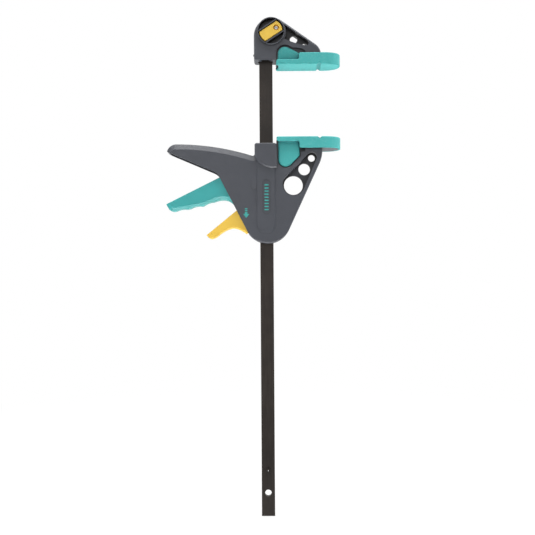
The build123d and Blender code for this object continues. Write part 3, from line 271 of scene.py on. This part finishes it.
def blackened_steel():
    """Black-oxided rolled flat: length-wise rolling streaks, faint brown cast, rubbed edges."""
    s = Shader("blackened_steel")
    streak = s.noise(900.0, 4.0, 0.6, s.stretched((1.0, 1.0, 0.035)))
    patch = s.noise(26.0, 5.0, 0.6)
    colour = s.mix(s.spread(patch, 0.35, 0.7, 0.0, 1.0), BAR_BLACK, BAR_BROWN)
    colour = s.mix(s.spread(streak, 0.45, 0.75, 0.0, 0.35), colour, BAR_STREAK)
    wear = s.math("MULTIPLY", s.edge_wear(0.0006, 0.82, 0.985),
                  s.spread(s.noise(120.0, 5.0), 0.45, 0.62, 0.0, 1.0))
    colour = s.mix(s.math("MULTIPLY", wear, 0.6), colour, BARE_STEEL)
    rough = s.spread(s.math("ADD", streak, s.math("MULTIPLY", patch, 0.6)), 0.5, 1.1, 0.34, 0.55)
    height = s.math("ADD", streak, s.math("MULTIPLY", s.noise(1400.0, 2.0), 0.5))
    normal = s.bump(height, 0.00005, 0.5, s.rounded(0.0004))
    return s.finish(colour, rough, normal, metallic=0.25, specular=0.4)


def zinc_steel():
    """Zinc-plated steel with fine turning marks."""
    s = Shader("zinc_steel")
    fog = s.noise(220.0, 5.0, 0.6)
    colour = s.mix(s.spread(fog, 0.35, 0.7, 0.0, 1.0), scaled(ZINC, 0.82), scaled(ZINC, 1.1))
    rough = s.spread(s.noise(700.0, 4.0), 0.3, 0.7, 0.22, 0.42)
    marks = s.noise(2600.0, 3.0, 0.5, s.stretched((1.0, 0.08, 1.0)))
    normal = s.bump(marks, 0.00003, 0.5, s.rounded(0.0002))
    return s.finish(colour, rough, normal, metallic=1.0)


def spring_steel():
    """Drawn spring wire with oil haze."""
    s = Shader("spring_steel")
    haze = s.noise(500.0, 4.0, 0.6)
    colour = s.mix(s.spread(haze, 0.35, 0.7, 0.0, 1.0), scaled(SPRING, 0.7), scaled(SPRING, 1.2))
    rough = s.spread(haze, 0.3, 0.7, 0.25, 0.45)
    normal = s.bump(s.noise(2200.0, 3.0), 0.00003, 0.5)
    return s.finish(colour, rough, normal, metallic=1.0)


def pad_print():
    """Pad-printed ink: slightly broken coverage over the moulded grain."""
    s = Shader("pad_print")
    cover = s.noise(1800.0, 3.0)
    colour = s.mix(s.spread(cover, 0.25, 0.5, 1.0, 0.0), PRINT_TEAL, scaled(PRINT_TEAL, 0.6))
    rough = s.spread(cover, 0.3, 0.7, 0.35, 0.5)
    normal = s.bump(s.noise(1500.0, 3.0), 0.00004, 0.4)
    return s.finish(colour, rough, normal)


MATERIALS = {
    "housing_plastic": housing_plastic(),
    "pad_rubber": pad_rubber(),
    "teal_plastic": lever_plastic("teal_plastic", TEAL_TRIGGER, RUBBED_TEAL),
    "yellow_plastic": lever_plastic("yellow_plastic", YELLOW, RUBBED_YELLOW),
    "blackened_steel": blackened_steel(),
    "bright_steel": zinc_steel(),
    "spring_steel": spring_steel(),
    "print_teal": pad_print(),
}


# ------------------------------------------------------------------ pieces
WELD_GAP = 0.001 * MM
SMOOTH_ANGLE = 18.0
LARGE_FACE_WEIGHT = 50
RUBBER_VOXEL = 0.65 * MM
RUBBER_EASE = 5


def dress(obj, material):
    """Give every slot of an object one material."""
    if not obj.material_slots:
        obj.data.materials.append(material)
    for slot in obj.material_slots:
        slot.material = material


def shade_smooth(obj):
    for polygon in obj.data.polygons:
        polygon.use_smooth = True


def add_weld(obj):
    weld = obj.modifiers.new("weld", "WELD")
    weld.merge_threshold = WELD_GAP


def smooth_by_angle(obj, degrees):
    """Join the tessellation's split corners, and shade smooth up to an angle with
    normals that lean to the larger face, so that flat faces stay flat to their edge."""
    add_weld(obj)
    shade_smooth(obj)
    split = obj.modifiers.new("split", "EDGE_SPLIT")
    split.split_angle = math.radians(degrees)
    split.use_edge_sharp = False
    even = obj.modifiers.new("even", "WEIGHTED_NORMAL")
    even.mode = "FACE_AREA"
    even.weight = LARGE_FACE_WEIGHT


def shown_copy(name, source, body):
    """Own mesh copied from a CAD node, standing for that node and riding on its body."""
    node = frame["nodes"][source]
    mesh = node.data.copy()
    mesh.transform(node.matrix_world)
    piece = bpy.data.objects.new(name, mesh)
    bpy.context.scene.collection.objects.link(piece)
    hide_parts(source)
    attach(piece, body)
    return piece


def bake_modifiers(piece):
    """Turn a piece's modifiers into its own mesh."""
    graph = bpy.context.evaluated_depsgraph_get()
    mesh = bpy.data.meshes.new_from_object(piece.evaluated_get(graph))
    piece.modifiers.clear()
    piece.data = mesh


def moulded_rubber(name, source, body):
    """Pad with the soft, slightly sunken edges that moulded rubber has."""
    piece = shown_copy(name, source, body)
    add_weld(piece)
    skin = piece.modifiers.new("skin", "REMESH")
    skin.mode = "VOXEL"
    skin.voxel_size = RUBBER_VOXEL
    ease = piece.modifiers.new("ease", "SMOOTH")
    ease.factor = 0.5
    ease.iterations = RUBBER_EASE
    bake_modifiers(piece)
    shade_smooth(piece)
    dress(piece, MATERIALS["pad_rubber"])


def coil(name, source):
    """Spring copied from its CAD node, riding on the head."""
    piece = shown_copy(name, source, "head")
    shade_smooth(piece)
    dress(piece, MATERIALS["spring_steel"])
    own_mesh(piece)


SLOT_OF = {row["node"]: row["material_slot"] for row in frame["record"]["subparts"]}
for name, node in frame["nodes"].items():
    dress(node, MATERIALS[SLOT_OF[name]])
    smooth_by_angle(node, SMOOTH_ANGLE)

moulded_rubber("fixed_pad_rubber", "fixed_jaw_pad", "frame")
moulded_rubber("moving_pad_rubber", "moving_jaw_pad", "head")
coil("drive_coil", "drive_return_spring")
coil("brake_coil", "brake_spring")


# ------------------------------------------------------------------ stage
FLOOR_Z = cad_bounds[0].z - 0.5 * MM
FLOOR_RADIUS = 40.0
SHADOW_FROM = 0.25
SHADOW_TO = 1.1
# Light that the room and the floor give from the camera's side.
FRONT_GLOW = 0.12


def floor_material(clear_from, clear_to):
    """Pale floor that keeps soft contact shading near the object and fades to plain white."""
    s = Shader("pale_floor")
    s.bsdf.inputs["Base Color"].default_value = (*WORKSHOP_WHITE, 1.0)
    s.bsdf.inputs["Roughness"].default_value = 0.8
    grain = s.noise(160.0, 4.0)
    s.link(s.bump(grain, 0.0002, 0.3), s.bsdf.inputs["Normal"])
    glow = s.add("ShaderNodeEmission")
    glow.inputs["Color"].default_value = (1.0, 1.0, 1.0, 1.0)
    # Plain white to the camera, but dim in front of the object as light on it.
    axes = s.add("ShaderNodeSeparateXYZ")
    s.link(s.coords, axes.inputs[0])
    falling = s.spread(axes.outputs["Y"], -0.6, 0.5, FRONT_GLOW, 1.0)
    seen = s.add("ShaderNodeLightPath").outputs["Is Camera Ray"]
    s.link(s.math("MAXIMUM", falling, seen), glow.inputs["Strength"])
    reach = s.add("ShaderNodeVectorMath")
    reach.operation = "LENGTH"
    s.link(s.coords, reach.inputs[0])
    fade = s.spread(reach.outputs["Value"], clear_from, clear_to, 0.75, 1.0)
    mixed = s.add("ShaderNodeMixShader")
    s.link(fade, mixed.inputs[0])
    s.link(s.bsdf.outputs["BSDF"], mixed.inputs[1])
    s.link(glow.outputs["Emission"], mixed.inputs[2])
    s.link(mixed.outputs["Shader"], s.out.inputs["Surface"])
    return s.material


def make_floor(radius):
    mesh = bpy.data.meshes.new("floor")
    form = bmesh.new()
    bmesh.ops.create_circle(form, cap_ends=True, radius=radius, segments=96)
    form.to_mesh(mesh)
    form.free()
    floor = bpy.data.objects.new("floor", mesh)
    floor.location = (0.0, 0.0, FLOOR_Z)
    bpy.context.scene.collection.objects.link(floor)
    dress(floor, floor_material(SHADOW_FROM, SHADOW_TO))


make_floor(FLOOR_RADIUS)


def soft_light(name, spot, target, size, watts, beam):
    """Rectangular softbox at a spot, turned to a target, with its beam in degrees."""
    data = bpy.data.lights.new(name, "AREA")
    data.shape = "RECTANGLE"
    data.size, data.size_y = size
    data.energy = watts
    data.spread = math.radians(beam)
    lamp = bpy.data.objects.new(name, data)
    lamp.location = spot
    lamp.rotation_mode = "QUATERNION"
    lamp.rotation_quaternion = (Vector(target) - Vector(spot)).to_track_quat("-Z", "Y")
    lamp.visible_camera = False
    bpy.context.scene.collection.objects.link(lamp)


SOFTBOXES = (
    # name, spot, target, size, watts, beam
    ("key_softbox", (-0.3, -1.5, 0.9), (0.0, 0.0, 0.40), (1.2, 1.2), 4.6, 180.0),
    ("left_softbox", (-1.5, -0.12, 0.8), (0.0, 0.0, 0.45), (0.9, 1.8), 3.0, 180.0),
    ("right_softbox", (1.5, -0.12, 0.8), (0.0, 0.0, 0.45), (0.9, 1.8), 8.0, 180.0),
    ("top_softbox", (0.0, -0.30, 2.3), (0.0, 0.0, 0.5), (1.8, 0.8), 38.0, 180.0),
    ("low_strip", (0.0, -0.22, 0.0), (0.0, -0.05, 0.45), (0.9, 0.26), 0.85, 70.0),
)
for softbox in SOFTBOXES:
    soft_light(*softbox)


def white_room():
    """White surround, darker on the camera's side so that faces read darker than bevels."""
    world = bpy.data.worlds.new("white_room")
    world.use_nodes = True
    tree = world.node_tree
    tree.nodes.clear()
    out = tree.nodes.new("ShaderNodeOutputWorld")
    sky = tree.nodes.new("ShaderNodeBackground")
    room = tree.nodes.new("ShaderNodeBackground")
    mix = tree.nodes.new("ShaderNodeMixShader")
    path = tree.nodes.new("ShaderNodeLightPath")
    coords = tree.nodes.new("ShaderNodeTexCoord")
    axes = tree.nodes.new("ShaderNodeSeparateXYZ")
    shade = tree.nodes.new("ShaderNodeMapRange")
    shade.inputs["From Min"].default_value = -1.0
    shade.inputs["From Max"].default_value = 0.2
    shade.inputs["To Min"].default_value = FRONT_GLOW
    shade.inputs["To Max"].default_value = 0.95
    sky.inputs["Color"].default_value = (1.0, 1.0, 1.0, 1.0)
    sky.inputs["Strength"].default_value = 1.0
    room.inputs["Color"].default_value = (1.0, 1.0, 1.0, 1.0)
    tree.links.new(coords.outputs["Generated"], axes.inputs[0])
    tree.links.new(axes.outputs["Y"], shade.inputs["Value"])
    tree.links.new(shade.outputs["Result"], room.inputs["Strength"])
    tree.links.new(path.outputs["Is Camera Ray"], mix.inputs[0])
    tree.links.new(room.outputs[0], mix.inputs[1])
    tree.links.new(sky.outputs[0], mix.inputs[2])
    tree.links.new(mix.outputs[0], out.inputs["Surface"])
    bpy.context.scene.world = world


white_room()
bpy.context.scene.view_settings.view_transform = "Standard"

# ------------------------------------------------------------------ camera
# HALF_VIEW is half the width seen at the bar, in metres.
CAMERA_DISTANCE = 1.040
CAMERA_HEIGHT = 0.3407
CAMERA_SIDE = 0.00068
CAMERA_ROLL = -0.0062
HALF_VIEW = 0.4053
SENSOR = 36.0

camera_data = bpy.data.cameras.new("camera")
camera_data.sensor_width = SENSOR
camera_data.lens = SENSOR / 2 * CAMERA_DISTANCE / HALF_VIEW
camera_data.clip_start = 0.02
camera_data.clip_end = 100.0
camera = bpy.data.objects.new("camera", camera_data)
camera.rotation_mode = "QUATERNION"
camera.location = (CAMERA_SIDE, -CAMERA_DISTANCE, CAMERA_HEIGHT)
camera.rotation_quaternion = (
    Euler((math.pi / 2, 0.0, 0.0)).to_quaternion() @ Quaternion((0.0, 0.0, 1.0), CAMERA_ROLL)
)
bpy.context.scene.collection.objects.link(camera)
bpy.context.scene.camera = camera
